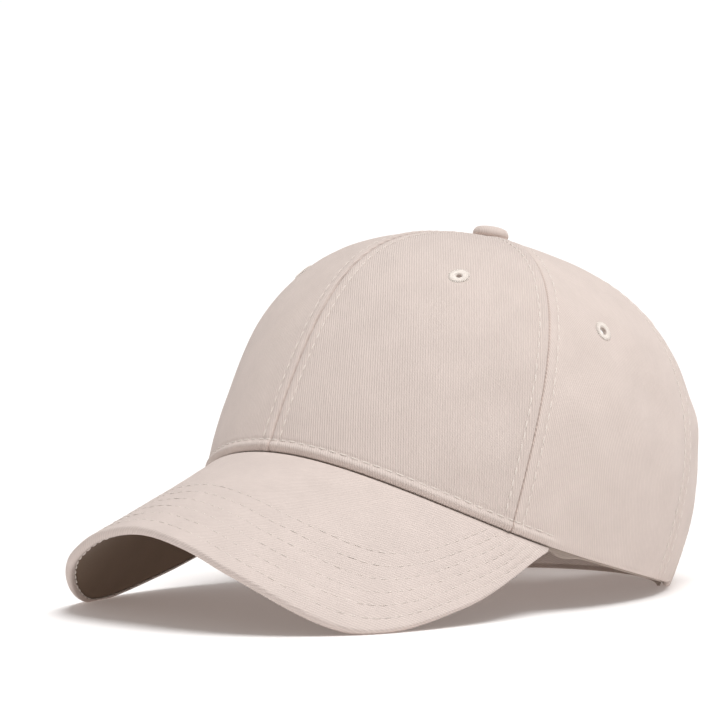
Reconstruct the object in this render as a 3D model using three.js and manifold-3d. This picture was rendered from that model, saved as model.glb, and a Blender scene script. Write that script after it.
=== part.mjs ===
// A six-panel cotton cap with a curved peak, a slit for a ponytail above the rear arch and a closing strap.
// Millimetres, +Z up. The peak points to -Y and the wearer's left is +X. The cap rests as it would on a
// table: on the two low places of the peak's edge and on the back of its rim, all at z = 0.
// On the crown a place is named by its angle around (0 in front, pi at the back, in radians) and its angle
// down from the apex (0 at the button, a quarter turn at the crown's widest plane).

import * as THREE from "three";
import { mergeVertices } from "three/addons/utils/BufferGeometryUtils.js";
import Module from "manifold-3d";

const wasm = await Module();
wasm.setup();

const DEGREE = Math.PI / 180;

// Cloth and clearances
const GAP = 0.3; // between neighbours that touch on the real cap
const PANEL_WALL = 1.4;
const FRONT_WALL = 1.6; // the two front panels are stiffened
const BAND_WALL = 1.2;
const STRAP_WALL = 1.2;
const FACING_WALL = 1.9;
const BINDING_WALL = 2.3;
const TRIM_PROUD = 0.3; // how far facings and binding stand out of the panels
const REST_FLAT = 0.3; // cloth pressed flat where the peak's edge meets the table

// Crown
const CROWN_HALF_WIDTH = 81.3;
const CROWN_HALF_LENGTH = 100.4;
const CROWN_HEIGHT = 138.1; // from the crown's widest plane to the apex, before the tent
const CROWN_TENT = 6.7; // pulled up under the button
const APEX_SHIFT = 2.5; // of the apex to the back, along the crown's own axis
const CROWN_TILT = 14.86; // degrees that the front is raised at rest
const CROWN_LIFT = -1.45;
const PLAN_EXPONENT = 2.01; // 2 is an ellipse in plan
const CROWN_FACES = [
  { face: "front", fullness: 2.82, tuck: -0.037, shoulder: 0.0085 },
  { face: "side", fullness: 2.91, tuck: 0.08, shoulder: 0.0425 },
  { face: "back", fullness: 2.325, tuck: 0.221, shoulder: 0.0814 },
]; // fullness is the profile's exponent, tuck a share of the radius, shoulder a share of CROWN_HEIGHT
const QUARTER_LIFT = 0.018; // share of CROWN_HEIGHT that the crown is fuller between side and back

// Seams between the panels
const FRONT_SEAM = 67.1; // degrees around
const FRONT_SEAM_BOW = 3; // degrees that the seam swings back at mid height
const BACK_SEAM = 123;
const PANEL_TOP = 0.03; // radians down from the apex, under the button

// Rim
const RIM_FRONT_HEIGHT = 60.3;
const RIM_BROW_SHARE = 0.643; // of RIM_FRONT_HEIGHT, between the front and the peak's corner
const RIM_CORNER_HEIGHT = 24.4;
const RIM_SIDE_HEIGHT = 5.4; // at the back seam
const RIM_BACK_HEIGHT = -3.2; // below the table, so that this stretch is pressed flat on it

// Peak
const PEAK_CORNER = 78.2; // degrees around, where the peak's corner meets the rim
const PEAK_REACH = 66.5; // in front of the rim, in plan
const PEAK_FLARE = 2.8; // how far the peak's sides stand out beyond its corners
const PEAK_TIP_HEIGHT = 37.9;
const PEAK_COVER_WALL = 2; // top cover with the board under it
const PEAK_UNDER_WALL = 1.4;
const PEAK_EDGE_THICKNESS = 3.6;
const PEAK_LIP = 2; // width of the rolled edge under the peak
const PEAK_FAN = 0.35; // how much the peak's straight lines lean forward
const PEAK_END = 0.975; // share of the half edge where the corner is finished off
const PEAK_EDGE = [
  { across: 0, back: 0, up: 1 },
  { across: 0.287, back: 0.009, up: 0.887 },
  { across: 0.519, back: 0.047, up: 0.646 },
  { across: 0.876, back: 0.276, up: 0.089 },
  { across: 1, back: 0.646, up: 0.243 },
]; // shares of the half width, of the way from tip to corner, and of PEAK_TIP_HEIGHT

// Slit and rear arch
const SLIT_HALF_WIDTH = 8.7;
const SLIT_TOP = 0.16; // radians down from the apex
const SLIT_TAPER = 0.995; // 1 closes the slit to a point at the arch
const FACING_WIDTH = 9.5;
const ARCH_HALF_WIDTH = 44.5;
const ARCH_HEIGHT = 62;
const ARCH_EXPONENT = 4.2; // upwards; across it is 2, as of an ellipse
const BINDING_WIDTH = 8;

// Straps, sweatband, button and eyelets
const STRAP_HEIGHT = 23.5;
const STRAP_END_CLEARANCE = 6.5;
const STRAP_SEWN_SHARE = 0.85; // of the binding's width that a strap is sewn under
const TAB_REACH = 15; // of the tab past the middle, under the strap
const TAB_RAISE = 2.2;
const BAND_HEIGHT = 30;
const BUTTON_RADIUS = 7.1;
const BUTTON_HEIGHT = 4.6;
const BUTTON_STEM_RADIUS = 2.2;
const EYELET_RADIUS = 4.4;
const EYELET_HOLE_RADIUS = 1.2;
const EYELET_BARREL_RADIUS = 1.9;
const EYELET_PROUD = 0.8;
const EYELETS = [
  { panel: "front", around: 42.4, down: 0.721 },
  { panel: "side", around: 87.3, down: 0.867 },
  { panel: "back", around: 134.6, down: 0.67 },
]; // degrees around and radians down

// Mesh fineness
const PANEL_COLUMNS = 10;
const PANEL_ROWS = 15;
const PEAK_COLUMNS = 36;
const BAND_COLUMNS = 64;
const BISECTIONS = 28;
const FRAME_STEP = 1e-3; // radians, for directions on the crown
const NEAR_APEX = 2 * FRAME_STEP; // directions aren't defined at the apex itself

const signedPower = (value, power) => Math.sign(value) * Math.abs(value) ** power;
const mix = (from, to, share) => from + (to - from) * share;
const smooth = (share) => share * share * (3 - 2 * share);
const steps = (count) => Array.from({ length: count + 1 }, (_, i) => i / count);

// The outside of the crown.
function crownPoint(around, down) {
  const c = Math.cos(around);
  const s = Math.sin(around);
  const weights = [Math.max(c, 0) ** 2, s * s, Math.max(-c, 0) ** 2];
  const blend = (column) => CROWN_FACES.reduce((sum, row, i) => sum + weights[i] * row[column], 0);
  const sinDown = Math.sin(down);
  const cosDown = Math.max(Math.cos(down), 0);
  const profile = 2 / blend("fullness");
  const tuck = (blend("tuck") * sinDown ** 4 * cosDown) / 0.286; // 0.286 is the greatest of sin^4 cos
  const spread = sinDown ** profile + tuck;
  const x = CROWN_HALF_WIDTH * signedPower(s, 2 / PLAN_EXPONENT);
  const y = -CROWN_HALF_LENGTH * signedPower(c, 2 / PLAN_EXPONENT);
  const quarter = QUARTER_LIFT * (2 * s * Math.max(-c, 0)) ** 2;
  const shoulder = (blend("shoulder") + quarter) * CROWN_HEIGHT * (2 * sinDown * cosDown) ** 2;
  const z = CROWN_HEIGHT * cosDown ** profile + CROWN_TENT * (1 - sinDown) ** 3 + shoulder;
  const point = new THREE.Vector3(x * spread, APEX_SHIFT + (y - APEX_SHIFT) * spread, z);
  point.applyAxisAngle(new THREE.Vector3(1, 0, 0), -CROWN_TILT * DEGREE);
  point.z += CROWN_LIFT;
  return point;
}

// A place on the crown with its outward normal and its direction straight down the wall.
function crownFrame(around, down) {
  const step = FRAME_STEP;
  const point = crownPoint(around, down);
  const side = crownPoint(around + step, down).sub(crownPoint(around - step, down));
  const fall = crownPoint(around, down + step).sub(crownPoint(around, down - step));
  const out = new THREE.Vector3().crossVectors(fall, side).normalize();
  return { point, out, fall: fall.normalize() };
}

// A point at a depth below the outside of the crown, negative to stand proud of it.
function crownAt(around, down, depth) {
  const { point, out } = crownFrame(around, down);
  return point.addScaledVector(out, -depth);
}

function bisect(low, high, isLow) {
  for (let i = 0; i < BISECTIONS; i += 1) {
    const middle = (low + high) / 2;
    if (isLow(middle)) low = middle;
    else high = middle;
  }
  return (low + high) / 2;
}

// How far down the crown a height above the table lies.
function downAtHeight(around, height) {
  return bisect(PANEL_TOP, Math.PI / 2, (down) => crownPoint(around, down).z > height);
}

// The angle around, behind the middle, where the crown is at a distance from the middle plane.
function aroundAtDistance(distance, down) {
  return bisect(Math.PI / 2, Math.PI, (around) => crownPoint(around, down).x > distance);
}

// An even curve through three values, at 0, at middle and at 1.
function evenCurve(at, middle, first, second, third) {
  const m = middle * middle;
  const fourth = (second - first - m * (third - first)) / (m * m - m);
  return first + (third - first - fourth) * at ** 2 + fourth * at ** 4;
}

// Height of the rim's outer edge above the table.
function rimHeight(around) {
  const angle = Math.abs(around) / DEGREE;
  if (angle < PEAK_CORNER) {
    const brow = RIM_FRONT_HEIGHT * RIM_BROW_SHARE;
    return evenCurve(angle / PEAK_CORNER, Math.SQRT1_2, RIM_FRONT_HEIGHT, brow, RIM_CORNER_HEIGHT);
  }
  const behind = 180 - PEAK_CORNER;
  const side = (180 - BACK_SEAM) / behind;
  return evenCurve((180 - angle) / behind, side, RIM_BACK_HEIGHT, RIM_SIDE_HEIGHT, RIM_CORNER_HEIGHT);
}

const rimDown = (around, above = 0) => downAtHeight(around, rimHeight(around) + above);

// A solid through closed outlines of one size; flat ends pair each point with the one across the wall.
function loft(sections) {
  const count = sections[0].length;
  const points = sections.flat();
  const index = [];
  const quad = (a, b, c, d) => index.push(a, b, c, a, c, d);
  for (let i = 0; i < sections.length - 1; i += 1) {
    const here = i * count;
    const next = here + count;
    for (let j = 0; j < count; j += 1) {
      const k = (j + 1) % count;
      const corners = [here + j, here + k, next + k, next + j];
      if (j >= count / 2) corners.push(corners.shift()); // both faces are split the same way
      quad(...corners);
    }
  }
  const end = (sections.length - 1) * count;
  for (let j = 0; j < count / 2 - 1; j += 1) {
    quad(j, count - 1 - j, count - 2 - j, j + 1);
    quad(end + j, end + j + 1, end + count - 2 - j, end + count - 1 - j);
  }
  let volume = 0;
  for (let i = 0; i < index.length; i += 3) {
    const [a, b, c] = [points[index[i]], points[index[i + 1]], points[index[i + 2]]];
    volume += a.dot(new THREE.Vector3().crossVectors(b, c));
  }
  if (volume < 0) index.reverse();
  const positions = points.flatMap((p) => [p.x, p.y, Math.max(p.z, 0)]); // nothing sinks into the table
  const geometry = new THREE.BufferGeometry();
  geometry.setAttribute("position", new THREE.Float32BufferAttribute(positions, 3));
  geometry.setIndex(index);
  return geometry;
}

function toSolid(geometry) {
  const bare = geometry.clone();
  bare.deleteAttribute("normal");
  bare.deleteAttribute("uv");
  const merged = mergeVertices(bare);
  const vertProperties = new Float32Array(merged.attributes.position.array);
  const triVerts = new Uint32Array(merged.index.array);
  return new wasm.Manifold(new wasm.Mesh({ numProp: 3, vertProperties, triVerts }));
}

function toGeometry(solid) {
  const mesh = solid.getMesh();
  const geometry = new THREE.BufferGeometry();
  geometry.setAttribute("position", new THREE.Float32BufferAttribute(mesh.vertProperties, 3));
  geometry.setIndex(Array.from(mesh.triVerts));
  return geometry;
}

// The same piece on the wearer's right.
function mirrored(geometry) {
  const other = geometry.clone();
  other.scale(-1, 1, 1);
  other.setIndex(Array.from(geometry.index.array).reverse());
  return other;
}

// A wall on the crown: place(column, row) gives around and down, depths are the outer and inner faces.
function crownWall(columns, rows, place, outerDepth, innerDepth) {
  const sections = steps(columns).map((column) => {
    const places = steps(rows).map((row) => place(column, row));
    const outer = places.map(([around, down]) => crownAt(around, down, outerDepth));
    const inner = places.map(([around, down]) => crownAt(around, down, innerDepth));
    return [...outer, ...inner.reverse()];
  });
  return loft(sections);
}

// Half the width of the slit, by how far down the crown it is.
const slitBottom = downAtHeight(Math.PI, ARCH_HEIGHT + BINDING_WIDTH);
function slitHalfWidth(down) {
  const along = THREE.MathUtils.clamp((down - SLIT_TOP) / (slitBottom - SLIT_TOP), 0, 1);
  return Math.max(SLIT_HALF_WIDTH * Math.sqrt(Math.sin(Math.PI * SLIT_TAPER * along)), GAP / 2);
}

// Outer side of the slit's facing, which narrows with the crown towards the button.
function facingEdge(down) {
  return Math.min(slitHalfWidth(down) + FACING_WIDTH, crownPoint(Math.PI / 2, down).x / 2);
}

// A block through the back of the crown with the outline of the rear arch, grown by a width.
function archBlock(grow) {
  const width = ARCH_HALF_WIDTH + grow;
  const height = ARCH_HEIGHT + grow;
  const outline = new THREE.Shape();
  const below = -BINDING_WIDTH;
  outline.moveTo(width, below);
  for (const share of steps(36)) {
    const turn = Math.PI * share;
    outline.lineTo(width * Math.cos(turn), height * Math.sin(turn) ** (2 / ARCH_EXPONENT));
  }
  outline.lineTo(-width, below);
  const geometry = new THREE.ExtrudeGeometry(outline, { depth: CROWN_HALF_LENGTH, bevelEnabled: false });
  geometry.rotateX(Math.PI / 2);
  geometry.translate(0, CROWN_HALF_LENGTH * 1.4, 0);
  return toSolid(geometry);
}

const bindingOutside = archBlock(BINDING_WIDTH);
const bindingRoom = archBlock(BINDING_WIDTH + GAP);
const archOpening = archBlock(0);

// Where the panels end, as angles around at a share of the way down.
const frontMiddle = () => 0;
const frontSeam = (row) => (FRONT_SEAM + FRONT_SEAM_BOW * Math.sin(Math.PI * row)) * DEGREE;
const backSeam = () => BACK_SEAM * DEGREE;

// A panel between two seams, with half the gap taken off at each.
function panel(from, to, wall, columns) {
  const place = (column, row) => {
    const middle = mix(from(row), to(row), 0.5);
    const down = mix(PANEL_TOP, rimDown(middle, GAP), row);
    const next = crownPoint(middle + FRAME_STEP, down);
    const trim = ((GAP / 2) * FRAME_STEP) / next.distanceTo(crownPoint(middle, down));
    const around = mix(from(row) + trim, to(row) - trim, column);
    return [around, mix(PANEL_TOP, rimDown(around, GAP), row)];
  };
  return crownWall(columns, PANEL_ROWS, place, 0, wall);
}

function backPanel() {
  const trimmed = backSeam() + GAP / 2 / CROWN_HALF_WIDTH;
  const place = (column, row) => {
    const centre = mix(PANEL_TOP, rimDown(Math.PI, GAP), row);
    const end = aroundAtDistance(facingEdge(centre) + GAP, centre);
    const around = mix(trimmed, end, column);
    return [around, mix(PANEL_TOP, rimDown(around, GAP), row)];
  };
  const wall = toSolid(crownWall(PANEL_COLUMNS, PANEL_ROWS, place, 0, PANEL_WALL));
  return toGeometry(wall.subtract(bindingRoom));
}

function slitFacing() {
  const bottom = downAtHeight(Math.PI, ARCH_HEIGHT);
  const place = (column, row) => {
    const down = mix(PANEL_TOP, bottom, row);
    return [aroundAtDistance(mix(slitHalfWidth(down), facingEdge(down), column), down), down];
  };
  const wall = toSolid(crownWall(3, 18, place, -TRIM_PROUD, FACING_WALL - TRIM_PROUD));
  return toGeometry(wall.subtract(bindingRoom));
}

function archBinding() {
  const spread = Math.PI - aroundAtDistance(ARCH_HALF_WIDTH + BINDING_WIDTH * 2, Math.PI / 2);
  const place = (column, row) => {
    const around = Math.PI + mix(-spread, spread, column);
    const top = downAtHeight(around, ARCH_HEIGHT + BINDING_WIDTH * 1.5);
    return [around, mix(top, rimDown(around), row)];
  };
  const wall = toSolid(crownWall(24, 6, place, -TRIM_PROUD, BINDING_WALL - TRIM_PROUD));
  return toGeometry(wall.intersect(bindingOutside).subtract(archOpening));
}

// The band inside the rim, from one side of the rear arch round the front to the other.
function sweatband() {
  const end = Math.PI - 0.05;
  const depth = FRONT_WALL + GAP;
  const place = (column, row) => {
    const around = mix(-end, end, column);
    return [around, downAtHeight(around, rimHeight(around) + GAP + BAND_HEIGHT * (1 - row))];
  };
  const wall = toSolid(crownWall(BAND_COLUMNS, 2, place, depth, depth + BAND_WALL));
  return toGeometry(wall.subtract(bindingRoom));
}

// A strap across the rear arch; depth(x) is how far inside the crown's outline it runs.
function strap(from, to, low, high, depth) {
  const sections = steps(20).map((share) => {
    const x = mix(from, to, share);
    const at = (height, extra) => {
      const surface = downAtHeight(Math.PI, height);
      const around = aroundAtDistance(Math.abs(x), surface);
      const down = downAtHeight(around, height);
      const { point, out } = crownFrame(around, down);
      const level = new THREE.Vector3(out.x * Math.sign(x || 1), out.y, 0).normalize();
      const place = new THREE.Vector3(x, point.y, height);
      return place.addScaledVector(level, -(depth(x) + extra));
    };
    const heights = [high, mix(low, high, 0.5), low];
    const outer = heights.map((height) => at(height, 0));
    const inner = heights.map((height) => at(height, STRAP_WALL));
    return [...outer, ...inner.reverse()];
  });
  return loft(sections);
}

const strapDeep = BINDING_WALL - TRIM_PROUD + GAP * 3.5; // level of a strap's end that is sewn under the binding
const strapLap = STRAP_WALL + GAP; // the strap rises by this over the tab on its way across
function strapDepth(x) {
  const across = THREE.MathUtils.clamp((ARCH_HALF_WIDTH - x) / (2 * ARCH_HALF_WIDTH), 0, 1);
  return strapDeep - strapLap * smooth(across);
}
const strapSewnEnd = ARCH_HALF_WIDTH + BINDING_WIDTH * STRAP_SEWN_SHARE;

// The peak's corner, the crown's front at the rim, and the peak's outer edge between the two corners.
const cornerPoint = crownPoint(PEAK_CORNER * DEGREE, rimDown(PEAK_CORNER * DEGREE));
let peakEdge = makePeakEdge(0);

function makePeakEdge(drop) {
  const tip = crownPoint(0, rimDown(0)).y - PEAK_REACH;
  const halfWidth = cornerPoint.x + PEAK_FLARE;
  const side = PEAK_EDGE.map(({ across, back, up }) => {
    const height = up * PEAK_TIP_HEIGHT - drop;
    return new THREE.Vector3(across * halfWidth, mix(tip, cornerPoint.y, back), height);
  });
  side.push(cornerPoint.clone());
  const across = side.slice(1).map((p) => new THREE.Vector3(-p.x, p.y, p.z));
  return new THREE.CatmullRomCurve3([...across.reverse(), ...side], false, "chordal");
}

// The top of the peak: a share across from corner to corner (-1 to 1) and out from the rim (0) to the edge (1).
function peakPoint(across, out) {
  const away = Math.abs(across);
  const around = PEAK_CORNER * DEGREE * Math.sign(across) * (away + PEAK_FAN * away * (1 - away));
  const rim = crownPoint(around, rimDown(around));
  return rim.lerp(peakEdge.getPointAt((across + 1) / 2), out);
}

function peakNormal(across, out) {
  const step = 2e-3;
  const nearer = THREE.MathUtils.clamp(across, -PEAK_END, PEAK_END);
  const side = peakPoint(nearer + step, out).sub(peakPoint(nearer - step, out));
  const ahead = peakPoint(nearer, out + step).sub(peakPoint(nearer, out - step));
  return new THREE.Vector3().crossVectors(ahead, side).normalize();
}

// A point in the peak's thickness; out below 0 is the seam allowance under the crown, as deep as the band.
function peakAt(across, out, depth) {
  const away = Math.abs(across);
  const around = PEAK_CORNER * DEGREE * Math.sign(across) * (away + PEAK_FAN * away * (1 - away));
  if (out <= 0) {
    const { point, out: outward, fall } = crownFrame(around, rimDown(around));
    const under = out < 0 ? fall : fall.clone().sub(peakNormal(across, 0)).normalize();
    const inward = out < 0 ? FRONT_WALL + GAP + BAND_WALL : 0;
    return point.addScaledVector(outward, -inward).addScaledVector(under, depth);
  }
  return peakPoint(across, out).addScaledVector(peakNormal(across, out), -depth);
}

// One layer of the peak; rows(length) lists out, top and bottom depth for a section of that length.
function peakLayer(rows, endsLeftOut = 0) {
  const shares = steps(PEAK_COLUMNS).slice(endsLeftOut, PEAK_COLUMNS + 1 - endsLeftOut);
  return shares.map((share) => {
    const across = mix(-PEAK_END, PEAK_END, share);
    const length = peakPoint(across, 0).distanceTo(peakPoint(across, 1));
    const profile = rows(length);
    const top = profile.map(({ out, top: depth }) => peakAt(across, out, depth));
    const bottom = profile.map(({ out, bottom: depth }) => peakAt(across, out, depth));
    return [...top, ...bottom.reverse()];
  });
}

// Where the rolled edge starts, as a share of a section's length.
const lipStart = (length) => Math.max(1 - PEAK_LIP / length, 0.35);
const spread = (from, to, depths) => steps(4).map((share) => ({ out: mix(from, to, share), ...depths }));

function coverRows(length) {
  const lip = lipStart(length);
  const step = GAP / length;
  const sheet = { top: 0, bottom: PEAK_COVER_WALL };
  const edge = { top: 0, bottom: PEAK_EDGE_THICKNESS };
  const round = 1 - Math.min(1 / length, 0.2);
  return [
    { out: -1, ...sheet },
    ...spread(0, lip, sheet),
    { out: lip + step, ...edge },
    { out: round, ...edge },
    { out: 1, top: PEAK_EDGE_THICKNESS * 0.3, bottom: PEAK_EDGE_THICKNESS * 0.7 },
  ];
}

function underRows(length) {
  const top = PEAK_COVER_WALL + GAP;
  const depths = { top, bottom: top + PEAK_UNDER_WALL };
  return [{ out: -1, ...depths }, ...spread(0, lipStart(length) - (2 * GAP) / length, depths)];
}

// The peak's edge comes down until its lowest place meets the table, where it is pressed flat.
const lowest = Math.min(...peakLayer(coverRows).flat().map((p) => p.z));
peakEdge = makePeakEdge(lowest + REST_FLAT);

function roundPiece(profile, segments) {
  const points = profile.map(([radius, height]) => new THREE.Vector2(radius, height));
  const geometry = new THREE.LatheGeometry(points, segments);
  geometry.rotateX(Math.PI / 2);
  geometry.deleteAttribute("normal");
  geometry.deleteAttribute("uv");
  return mergeVertices(geometry, 1e-4);
}

function buttonGeometry() {
  const stem = BUTTON_STEM_RADIUS;
  const foot = -(FRONT_WALL + GAP);
  const dome = [0.35, 0.7, 0.9, 0.98, 1].map((share) => {
    return [BUTTON_RADIUS * share, mix(0.25, 1, Math.sqrt(1 - share ** 2)) * BUTTON_HEIGHT];
  });
  const profile = [[0, foot], [stem, foot], [stem, 0], [BUTTON_RADIUS * 0.94, 0]];
  return roundPiece([...profile, ...dome.reverse(), [0, BUTTON_HEIGHT]], 24);
}

function eyeletGeometry(wall) {
  const lip = EYELET_PROUD + GAP;
  const flat = mix(EYELET_HOLE_RADIUS, EYELET_RADIUS, 0.3);
  return roundPiece(
    [
      [EYELET_HOLE_RADIUS, -wall],
      [EYELET_BARREL_RADIUS, -wall],
      [EYELET_BARREL_RADIUS, GAP],
      [EYELET_RADIUS, GAP],
      [EYELET_RADIUS, GAP + EYELET_PROUD * 0.4],
      [mix(EYELET_HOLE_RADIUS, EYELET_RADIUS, 0.8), lip],
      [flat, lip],
      [EYELET_HOLE_RADIUS, GAP],
      [EYELET_HOLE_RADIUS, -wall],
    ],
    14,
  );
}

// Turns a piece made about +Z to stand on the crown.
function standOnCrown(object, around, down) {
  const { point, out } = crownFrame(around, down);
  object.quaternion.setFromUnitVectors(new THREE.Vector3(0, 0, 1), out);
  object.position.copy(point);
}

function withEyeletHole(geometry, name) {
  const { around, down } = EYELETS.find((row) => row.panel === name);
  const radius = EYELET_BARREL_RADIUS + GAP;
  const punch = new THREE.CylinderGeometry(radius, radius, 12, 14).rotateX(Math.PI / 2);
  const holder = new THREE.Object3D();
  standOnCrown(holder, around * DEGREE, down);
  holder.updateMatrixWorld(true);
  punch.applyMatrix4(holder.matrixWorld);
  return toGeometry(toSolid(geometry).subtract(toSolid(punch)));
}

const cloth = (color, roughness = 0.92) => new THREE.MeshStandardMaterial({ color, roughness, metalness: 0 });
const twill = cloth(0xdcccc4);
const peakTwill = cloth(0xe2d4cb);
const strapCloth = cloth(0xd4c6be);
const bandCloth = cloth(0xcfc0b6);
const thread = cloth(0xe8dcd2, 0.8);

const pieces = new THREE.Group();
function add(name, geometry, material) {
  const mesh = new THREE.Mesh(geometry, material);
  mesh.name = name;
  pieces.add(mesh);
  return mesh;
}

const panels = [
  ["front", panel(frontMiddle, frontSeam, FRONT_WALL, PANEL_COLUMNS)],
  ["side", panel(frontSeam, backSeam, PANEL_WALL, PANEL_COLUMNS - 2)],
  ["back", backPanel()],
];
for (const [name, whole] of panels) {
  const geometry = withEyeletHole(whole, name);
  add(`${name}_panel_left`, geometry, twill);
  add(`${name}_panel_right`, mirrored(geometry), twill);
}

const facing = slitFacing();
add("slit_facing_left", facing, twill);
add("slit_facing_right", mirrored(facing), twill);
add("arch_binding", archBinding(), twill);
add("peak_top_cover", loft(peakLayer(coverRows)), peakTwill);
add("peak_underside", loft(peakLayer(underRows, 1)), peakTwill);
add("sweatband", sweatband(), bandCloth);

const strapFrom = -(ARCH_HALF_WIDTH - STRAP_END_CLEARANCE);
add("strap_long", strap(strapFrom, strapSewnEnd, 0, STRAP_HEIGHT, strapDepth), strapCloth);
const tabDepth = (x) => strapDepth(x) + strapLap;
const tabTop = STRAP_HEIGHT + TAB_RAISE;
add("strap_tab", strap(-strapSewnEnd, TAB_REACH, TAB_RAISE, tabTop, tabDepth), strapCloth);

const button = add("button", buttonGeometry(), twill);
standOnCrown(button, 0, NEAR_APEX);
button.position.z += GAP;

for (const { panel: name, around, down } of EYELETS) {
  const geometry = eyeletGeometry(name === "front" ? FRONT_WALL : PANEL_WALL);
  for (const [side, sign] of [["left", 1], ["right", -1]]) {
    const eyelet = add(`eyelet_${name}_${side}`, geometry.clone(), thread);
    standOnCrown(eyelet, sign * around * DEGREE, down);
  }
}

// The origin is on the table, under the middle of the whole cap.
const middle = new THREE.Box3().setFromObject(pieces).getCenter(new THREE.Vector3());
pieces.position.y = -middle.y;
const cap = new THREE.Group();
cap.add(pieces);

export default cap;
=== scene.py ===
import math

import bpy
import numpy as np
from mathutils import Matrix, Vector, noise


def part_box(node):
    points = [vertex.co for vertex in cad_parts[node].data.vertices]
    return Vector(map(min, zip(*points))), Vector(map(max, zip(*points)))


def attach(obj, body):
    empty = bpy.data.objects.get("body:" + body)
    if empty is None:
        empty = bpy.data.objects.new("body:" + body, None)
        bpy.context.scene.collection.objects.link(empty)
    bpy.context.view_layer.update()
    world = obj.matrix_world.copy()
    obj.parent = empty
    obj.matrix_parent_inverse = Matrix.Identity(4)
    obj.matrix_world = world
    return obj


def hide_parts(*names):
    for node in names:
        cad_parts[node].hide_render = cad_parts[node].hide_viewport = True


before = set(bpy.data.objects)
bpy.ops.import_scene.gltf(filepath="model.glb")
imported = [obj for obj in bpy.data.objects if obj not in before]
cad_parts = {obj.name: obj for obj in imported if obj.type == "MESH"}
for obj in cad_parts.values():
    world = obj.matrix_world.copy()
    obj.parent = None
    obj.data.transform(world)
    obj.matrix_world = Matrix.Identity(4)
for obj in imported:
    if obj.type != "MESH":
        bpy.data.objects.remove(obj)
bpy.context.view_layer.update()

# A six-panel cotton cap with a curved peak, a slit for a ponytail above the rear arch and a closing strap.
# Shapes are worked out in millimetres in the same frame as the solids, before they are centred, and turned
# to metres when a mesh is made. On the crown a place is given by its angle around (0 in front, pi at the
# back) and its angle down from the apex. Left and right are the wearer's.
DEGREE = math.pi / 180
GAP = 0.3

# Crown, as in the solids
CROWN_HALF_WIDTH = 81.3
CROWN_HALF_LENGTH = 100.4
CROWN_HEIGHT = 138.1
CROWN_TENT = 6.7
APEX_SHIFT = 2.5
CROWN_TILT = 14.86 * DEGREE
CROWN_LIFT = -1.45
PLAN_EXPONENT = 2.01
FULLNESS = (2.82, 2.91, 2.325)  # front, side, back
TUCK = (-0.037, 0.08, 0.221)
SHOULDER = (0.0085, 0.0425, 0.0814)
QUARTER_LIFT = 0.018
FRAME_STEP = 1e-3

# Seams and rim
FRONT_SEAM = 67.1
FRONT_SEAM_BOW = 3
BACK_SEAM = 123
RIM_FRONT_HEIGHT = 60.3
RIM_BROW_SHARE = 0.643
RIM_CORNER_HEIGHT = 24.4
RIM_SIDE_HEIGHT = 5.4
RIM_BACK_HEIGHT = -3.2
FRONT_WALL = 1.6
PANEL_WALL = 1.4
BAND_WALL = 1.2
BAND_HEIGHT = 30
BAND_HANG = 2.0  # of its edge below the rim behind the peak's corners
BAND_STITCH_BELOW = 3.6

# Peak
PEAK_CORNER = 78.2
PEAK_REACH = 66.5
PEAK_FLARE = 2.8
PEAK_TIP_HEIGHT = 37.9
PEAK_FAN = 0.35
PEAK_END = 0.985
PEAK_EDGE = [(0, 0, 1), (0.287, 0.009, 0.887), (0.519, 0.047, 0.646), (0.876, 0.276, 0.089),
             (1, 0.646, 0.243)]
PEAK_EDGE_THICKNESS = 3.6
PEAK_COVER_WALL = 2
PEAK_UNDER_WALL = 1.4
PEAK_LIP = 2

# Slit, rear arch and straps
SLIT_HALF_WIDTH = 8.7
SLIT_TOP = 0.16
SLIT_TAPER = 0.995
FACING_WIDTH = 9.5
FACING_WALL = 1.9
ARCH_HALF_WIDTH = 44.5
ARCH_HEIGHT = 62
ARCH_EXPONENT = 4.2  # upwards; across it is 2, as of an ellipse
BINDING_WIDTH = 8
BINDING_WALL = 2.3
TRIM_PROUD = 0.3
STRAP_HEIGHT = 23.5
STRAP_WALL = 1.2
STRAP_END_CLEARANCE = 6.5
STRAP_SEWN_SHARE = 0.85
TAB_REACH = 15
TAB_RAISE = 2.2
STRAP_COLUMNS = 110

# Button and eyelets
EYELET_RADIUS = 4.3
# name, degrees around, place down the meridian, radius of the hole
EYELETS = [("front", 42.4, 0.721, 0.85), ("side", 87.3, 0.867, 1.5), ("back", 134.6, 0.67, 1.4)]

# Sewing
STITCH_OFFSET = 4.3
STITCH_LENGTH = 3.7
STITCH_GAP = 0.9
STITCH_RADIUS = 0.27
RIM_STITCH_HEIGHT = 3.9
PEAK_STITCH_ROWS = (6.5, 13, 19.5, 26, 32.5, 39)

# Colours of the cloth in linear light
CLOTH = (0.685, 0.585, 0.535)
# The peak's cloth is the crown's cloth made a shade darker: painted shade that tones down the peak's lit
# top.
PEAK_CLOTH_WITH_PAINTED_SHADE = (0.66, 0.565, 0.52)
STRAP_CLOTH = (0.64, 0.54, 0.49)
BAND_CLOTH = (0.36, 0.295, 0.255)
# The lining is a darker brown cloth, darkened further with painted shade of the peak's underside.
LINING_CLOTH_AND_PAINTED_SHADE = (0.205, 0.142, 0.098)
THREAD = (0.8, 0.715, 0.655)
EYELET_THREAD = (0.87, 0.79, 0.725)

SIDES = (("left", 1), ("right", -1))
scene = bpy.context.scene


# Shape of the crown

def signed_power(value, power):
    return np.sign(value) * np.abs(value) ** power


def mix(first, second, share):
    return first + (second - first) * share


def smooth(share):
    share = np.clip(share, 0, 1)
    return share * share * (3 - 2 * share)


def unit(vectors):
    return vectors / np.maximum(np.linalg.norm(vectors, axis=-1, keepdims=True), 1e-9)


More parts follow.
